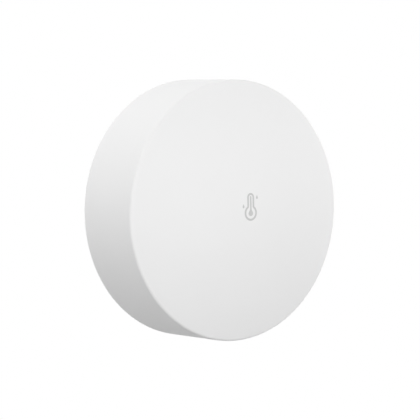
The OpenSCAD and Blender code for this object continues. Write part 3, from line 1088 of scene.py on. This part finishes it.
@dataclass
class RearCover:
    """Rear cover: plate with a pad seat and two rows of vent slots, lock ring pieces and lugs."""

    columns: int = 360
    radius: float = 19.7
    seat_r: float = 13.2
    seat_a: float = 1.0
    seat_round: float = 0.1
    vent_rows: tuple[int, ...] = (90, 270)
    vent_steps: tuple[int, ...] = (-24, -16, -8, 0, 8, 16, 24)
    vent_span: Pair = (13.45, 16.95)
    vent_faces: int = 12
    vent_width: int = 3
    slot_mid: float = 15.2
    slot_half: float = 1.0
    slot_r: float = 0.5
    slot_round: float = 0.12
    slot_steps: int = 5
    lock_box: tuple[Pair, Pair] = ((17.0, 1.8), (18.2, 5.0))
    lock_span: float = 18.0
    lug_box: tuple[Pair, Pair] = ((18.0, 3.8), (19.3, 5.0))
    lug_span: float = 11.0
    gusset_t: float = 1.2
    gusset_span: Pair = (15.5, 17.2)
    gusset_rises: Pair = (0.4, 2.4)
    gusset_root: float = 0.2
    gusset_round: float = 0.08
    arrow_span: Pair = (17.2, 18.9)
    arrow_widths: Pair = (1.0, 0.04)
    arrow_rise: float = 0.25
    arrow_root: float = 0.3
    arrow_round: float = 0.06

    def profile(self) -> tuple[Array, int, int]:
        """Closed profile from the middle of the pad's seat round the edge to the middle of the front.

        Returns:
            The points, and the rows (without poles) where the vents start behind and in front.
        """
        low, top = SIZE.cover_low, SIZE.cover_top
        r, rim, soft = self.radius, SIZE.rim_r, SIZE.soft
        seat, deep, e = self.seat_r, self.seat_a, self.seat_round
        inner, outer = self.vent_span
        rear = joined(
            even((0, deep), (seat - e, deep), 7),
            arc((seat - e, deep - e), e, 0, 90, 4),
            even((seat, deep - e), (seat, low + e), 3),
            arc((seat + e, low + e), e, 270, 180, 4),
            even((seat + e, low), (inner, low), 2),
        )
        side = joined(
            rear,
            even((inner, low), (outer, low), self.vent_faces + 1),
            even((outer, low), (r - rim, low), 6),
            arc((r - rim, low + rim), rim, 180, 90, 8),
            even((r, low + rim), (r, top - soft), 4),
            arc((r - soft, top - soft), soft, 90, 0, 4),
            even((r - soft, top), (outer, top), 6),
        )
        full = joined(
            side,
            even((outer, top), (inner, top), self.vent_faces + 1),
            even((inner, top), (0, top), 8),
        )
        return full, len(rear) - 2, len(side) - 2

    def slot_outline(self, ray: Array, radius: float) -> Array:
        """Outline of a slot in its own plane, (along the radius, sideways), for one radius of its ends.

        The distance to it along the direction (c, s) is r / |s| on its straight sides and
        h |c| + sqrt(r^2 - h^2 s^2) on its round ends.

        Args:
            ray: Directions of shape (n, 2).
            radius: Radius r of the ends.

        Returns:
            Points of shape (n, 2).
        """
        c, s = np.abs(ray[:, 0]), np.maximum(np.abs(ray[:, 1]), TINY)
        straight = radius / s
        end = self.slot_half * c + np.sqrt(np.clip(radius**2 - (self.slot_half * s) ** 2, 0, None))
        return ray * np.where(straight * c <= self.slot_half, straight, end)[:, None]

    def slot_rings(self, rear: Array, front: Array, angle: float) -> Array:
        """Rings of one vent slot, from its window behind to its window in front, with rounded edges.

        Args:
            rear: Points of the rear window's rim.
            front: Points of the front window's rim, in the same order.
            angle: Direction of the slot in degrees.

        Returns:
            Ring points of shape (rings, points, 3).
        """
        turn, e = math.radians(angle), self.slot_round
        own = [spun(rim[:, 0], rim[:, 1], 0.0, -turn)[:, :2] for rim in (rear, front)]
        near, far = (plane - (self.slot_mid, 0.0) for plane in own)
        ray = near / np.linalg.norm(near, axis=1, keepdims=True)
        bends = np.linspace(0, math.pi / 2, self.slot_steps)
        edge = [self.slot_outline(ray, self.slot_r + e * (1 - math.sin(b))) for b in bends]
        planes = [(near + edge[0]) / 2, *edge, *edge[::-1], (far + edge[0]) / 2]
        sink = [0.0, *(e * (1 - np.cos(bends)))]
        heights = [SIZE.cover_low + d for d in sink] + [SIZE.cover_top - d for d in sink[::-1]]
        return np.stack([
            spun(plane[:, 0] + self.slot_mid, plane[:, 1], height, turn)
            for plane, height in zip(planes, heights)
        ])

    def add_plate(self, form: Form) -> None:
        """Add the plate with its slots.

        Args:
            form: Form that takes the plate.
        """
        profile, rear_row, front_row = self.profile()
        plate = Turned(profile, self.columns)
        grid = plate.grid()
        faces, width = self.vent_faces, self.vent_width
        for column in (row + step for row in self.vent_rows for step in self.vent_steps):
            first = plate.window(rear_row, faces, column, width)
            last = plate.window(front_row + faces, -faces, column, width)
            plate.tunnel(first, self.slot_rings(grid[first], grid[last], column), last)
        plate.into(form)

    def build(self) -> Piece:
        """Make the plate with its slots, the lock pieces on its front and the arrow behind.

        A gusset rises towards its lock piece, and the arrow narrows to its point.

        Returns:
            The piece.
        """
        form = Form()
        self.add_plate(form)
        side, foot, low = self.gusset_t / 2, SIZE.cover_top - self.gusset_root, SIZE.cover_low
        gusset = rounded_box((-side, 0.0), (side, 1.0), self.gusset_round)
        for angle in SIZE.lock_angles:
            for box, span in ((self.lock_box, self.lock_span), (self.lug_box, self.lug_span)):
                form.arc_bar(rounded_box(*box, SIZE.soft), angle - span, angle + span)
            form.radial_bar(gusset, self.gusset_span, angle, rises=self.gusset_rises, foot=foot)
        arrow = rounded_box((-1.0, low - self.arrow_rise), (1.0, low + self.arrow_root), self.arrow_round)
        form.radial_bar(arrow, self.arrow_span, 0.0, widths=self.arrow_widths)
        return form.piece("cover_plate")

    def dress(self) -> Piece:
        """Build the cover in matt white plastic, in place of its solid."""
        return settle(self.build(), COVER_WHITE, Body.BASE, "cover_white", "rear_cover")


@dataclass
class AdhesivePad:
    """Round foam pad on the rear cover."""

    columns: int = 180
    radius: float = 13.0
    thickness: float = 1.0
    round_r: float = 0.12
    sag: float = 0.14
    fill: float = 1.0

    def build(self) -> Piece:
        """Turn the pad's profile: flat where it is bonded, with a side that bulges where it is squeezed.

        The side is radius - sag * s^2 for s from -1 at one face to 1 at the other, with rounded corners.

        Returns:
            The piece.
        """
        r, e, t = self.radius - self.sag, self.round_r, self.thickness
        s = np.linspace(-1, 1, 13)
        side = np.stack([self.radius - self.sag * s**2, t / 2 + s * (t / 2 - e)], axis=1)
        profile = joined(
            even((0, 0), (r - e, 0), 10),
            arc((r - e, e), e, 180, 90, 6),
            side,
            arc((r - e, t - e), e, 90, 0, 6),
            even((r - e, t), (0, t), 10),
        )
        form = Form()
        Turned(profile, self.columns).into(form)
        return form.piece("foam_pad")

    def dress(self) -> Piece:
        """Build the pad in foam, in place of its solid.

        Returns:
            The piece.
        """
        pad = settle(self.build(), PAD_FOAM, Body.BASE, "pad_foam", "adhesive_pad")
        return pad


@dataclass
class ResetButton:
    """Reset button in the side wall: a flange inside and a stem with a domed end."""

    columns: int = 96
    flange_r: float = 2.3
    flange: Pair = (18.45, 19.45)
    stem_r: float = 1.5
    end: float = 21.2
    cap_r: float = 4.0
    round_r: float = 0.12

    def build(self) -> Piece:
        """Turn the button's profile about its own axis, and lay that axis along u.

        Returns:
            The piece.
        """
        low, high = self.flange
        e, r, rim = self.round_r, self.stem_r, self.flange_r - self.round_r
        ball = self.end - self.cap_r
        turn = math.asin((r - e) / (self.cap_r - e))
        middle = (r - e, ball + (self.cap_r - e) * math.cos(turn))
        tilt = math.degrees(turn)
        profile = joined(
            even((0, low), (rim, low), 6),
            arc((rim, low + e), e, 180, 90, 5),
            arc((rim, high - e), e, 90, 0, 5),
            even((rim, high), (r, high), 4),
            even((r, high), (r, middle[1]), 8),
            arc(middle, e, 90, tilt, 6),
            arc((0, ball), self.cap_r, tilt, 0, 10),
        )
        form = Form()
        Turned(profile, self.columns).into(form)
        form.points = [np.roll(points, 1, axis=1) + (0.0, 0.0, SIZE.button) for points in form.points]
        return form.piece("button_cap")

    def dress(self) -> Piece:
        """Build the button in white plastic, in place of its solid."""
        return settle(self.build(), BUTTON_WHITE, Body.BUTTON, "button_white", "reset_button")


class Inside:
    """Pieces inside the sensor, which keep their solids."""

    def dress(self) -> None:
        """Give each inner solid its finish."""
        for name, finish in INNER_FINISHES.items():
            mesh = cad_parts[name].data
            mesh.materials.clear()
            mesh.materials.append(finish.material())
            LOG.info("%s: finish %s", name, finish.name)


def aimed(obj: Piece, azimuth: float, elevation: float, distance: float, aim: Array) -> None:
    """Put a lamp or camera into the scene, on a direction from a point and turned to it.

    The direction is (sin z cos e, -cos z cos e, sin e) for azimuth z and elevation e.

    Args:
        obj: The lamp or camera.
        azimuth: Angle from the front towards the right, in degrees.
        elevation: Angle upwards, in degrees.
        distance: Distance in metres.
        aim: The point, in metres.
    """
    z, e = math.radians(azimuth), math.radians(elevation)
    away = np.array([math.sin(z) * math.cos(e), -math.cos(z) * math.cos(e), math.sin(e)])
    obj.location = aim + away * distance
    obj.rotation_euler = (math.pi / 2 - e, 0.0, z)
    bpy.context.scene.collection.objects.link(obj)


@dataclass(frozen=True)
class Lamp:
    """A soft box: its direction from the sensor, power in watts, width and height in metres."""

    name: str
    azimuth: float
    elevation: float
    power: float
    width: float = 1.2
    height: float = 0.8
    distance: float = 1.2
    mirrored: bool = False

    def build(self) -> None:
        """Place the lamp; gloss shows the white surround, and the lamp only if it is mirrored."""
        data = bpy.data.lights.new(self.name, "AREA")
        data.shape = "RECTANGLE"
        data.size, data.size_y = self.width, self.height
        data.energy = self.power
        obj = bpy.data.objects.new(self.name, data)
        obj.visible_camera = False
        obj.visible_glossy = self.mirrored
        aimed(obj, self.azimuth, self.elevation, self.distance, np.zeros(3))


@dataclass
class Studio:
    """Plain pale floor, white surround, soft boxes and the camera."""

    lamps: tuple[Lamp, ...] = (
        Lamp("front", -30.0, 3.0, 8.5),
        Lamp("left", -90.0, 3.0, 4.2),
        Lamp("sheen", 24.0, 3.0, 4.1, 0.9, 0.7, mirrored=True),
        Lamp("right", 90.0, 3.0, 6.5),
        Lamp("back", 180.0, 3.0, 8.3),
        Lamp("top_left", -150.0, 50.0, 6.9),
        Lamp("top_right", 120.0, 50.0, 3.6),
        Lamp("crown", 0.0, 50.0, 1.6),
    )
    surround: float = 0.25
    floor_level: float = -0.45
    floor_rings: tuple[float, ...] = (0.05, 0.3, 1.0, 2.0, 4.0)
    floor_columns: int = 64
    floor_seen: Colour = (0.90, 0.90, 0.90)
    floor_bounce: Colour = (0.12, 0.12, 0.12)
    floor_glow: float = 0.6
    floor_fade: Pair = (0.55, 1.1)
    azimuth: float = -38.11
    elevation: float = 3.07
    distance: float = 381.78
    aim: tuple[float, float, float] = (0.0, -7.3, 0.0)
    view_px: float = 2293.8
    frame_px: float = 420.0
    aim_px: Pair = (211.39, 208.83)
    sensor_width: float = 36.0
    clip: Pair = (0.01, 50.0)

    @staticmethod
    def seen(kit: NodeKit) -> Socket:
        """Tell rays that show something from those that only carry light.

        Args:
            kit: Builder of the tree's nodes.

        Returns:
            One for camera, glossy and transmission rays, and nought for the rest.
        """
        path = kit.node("ShaderNodeLightPath").outputs
        both = kit.maths("MAXIMUM", path["Is Camera Ray"], path["Is Glossy Ray"])
        return kit.maths("MAXIMUM", both, path["Is Transmission Ray"])

    def build_world(self) -> None:
        """White where it is seen, a plain even surround as light."""
        world = bpy.data.worlds.new("surround")
        bpy.context.scene.world = world
        world.use_nodes = True
        world.node_tree.nodes.clear()
        kit = NodeKit(world.node_tree)
        light = kit.node("ShaderNodeBackground", {"Color": WHITE, "Strength": self.surround})
        white = kit.node("ShaderNodeBackground", {"Color": WHITE})
        mix = kit.mixed(self.seen(kit), light, white)
        kit.node("ShaderNodeOutputWorld", {"Surface": mix.outputs[0]})

    def floor_material(self) -> bpy.types.Material:
        """Pale where it is seen, fading to white far out, and dim in what it throws back.

        Returns:
            The material.
        """
        made = bpy.data.materials.new("floor_pale")
        made.use_nodes = True
        made.node_tree.nodes.clear()
        kit = NodeKit(made.node_tree)
        shown = kit.node("ShaderNodeBsdfDiffuse", {"Color": (*self.floor_seen, 1.0)})
        bounce = kit.node("ShaderNodeBsdfDiffuse", {"Color": (*self.floor_bounce, 1.0)})
        glow = kit.node("ShaderNodeEmission", {"Strength": self.floor_glow})
        lit = kit.node("ShaderNodeAddShader", {0: shown.outputs[0], 1: glow.outputs[0]})
        place = kit.node("ShaderNodeTexCoord").outputs["Object"]
        length = kit.node("ShaderNodeVectorMath", {0: place}, operation="LENGTH").outputs["Value"]
        near, far = self.floor_fade
        fade = kit.node("ShaderNodeMapRange", interpolation_type="SMOOTHSTEP")
        kit.feed(fade, {"Value": length, "From Min": near, "From Max": far})
        pale = kit.mixed(fade.outputs["Result"], lit, kit.node("ShaderNodeEmission"))
        mix = kit.mixed(self.seen(kit), bounce, pale)
        kit.node("ShaderNodeOutputMaterial", {"Surface": mix.outputs[0]})
        return made

    def build_floor(self) -> None:
        """A round pale floor below the sensor: rings of points (r cos t, r sin t) at one level."""
        columns = self.floor_columns
        rings = spun(np.array(self.floor_rings)[:, None], 0.0, self.floor_level, round_angles(columns))
        points = np.concatenate([rings.reshape(-1, 3), [[0.0, 0.0, self.floor_level]]])
        fan = end_fans(len(rings), columns, len(points) - 1)[:columns]
        mesh = bpy.data.meshes.new("floor")
        mesh.from_pydata(points.tolist(), [], grid_quads(len(rings), columns).tolist() + fan.tolist())
        mesh.materials.append(self.floor_material())
        floor = bpy.data.objects.new("floor", mesh)
        bpy.context.scene.collection.objects.link(floor)

    def build_camera(self) -> None:
        """The camera of the photograph: its direction, distance, angle of view and a small shift."""
        data = bpy.data.cameras.new("camera")
        data.sensor_fit = "HORIZONTAL"
        data.sensor_width = self.sensor_width
        data.lens = self.sensor_width * self.view_px / self.frame_px
        data.shift_x = (self.frame_px / 2 - self.aim_px[0]) / self.frame_px
        data.shift_y = (self.aim_px[1] - self.frame_px / 2) / self.frame_px
        data.clip_start, data.clip_end = self.clip
        obj = bpy.data.objects.new("camera", data)
        aimed(obj, self.azimuth, self.elevation, self.distance * METRES, np.array(self.aim) * METRES)
        bpy.context.scene.camera = obj

    def build(self) -> None:
        """Set up camera, surround, floor and lamps."""
        bpy.context.scene.view_settings.view_transform = "Standard"
        self.build_camera()
        self.build_world()
        self.build_floor()
        for lamp in self.lamps:
            lamp.build()


def main() -> None:
    """Build the studio and the pieces in order."""
    logging.basicConfig(level=logging.INFO, format="%(name)s: %(message)s")
    Studio().build()
    for part in (Housing(), Symbol(), RearCover(), AdhesivePad(), ResetButton(), Inside()):
        part.dress()


if __name__ == "__main__":
    main()
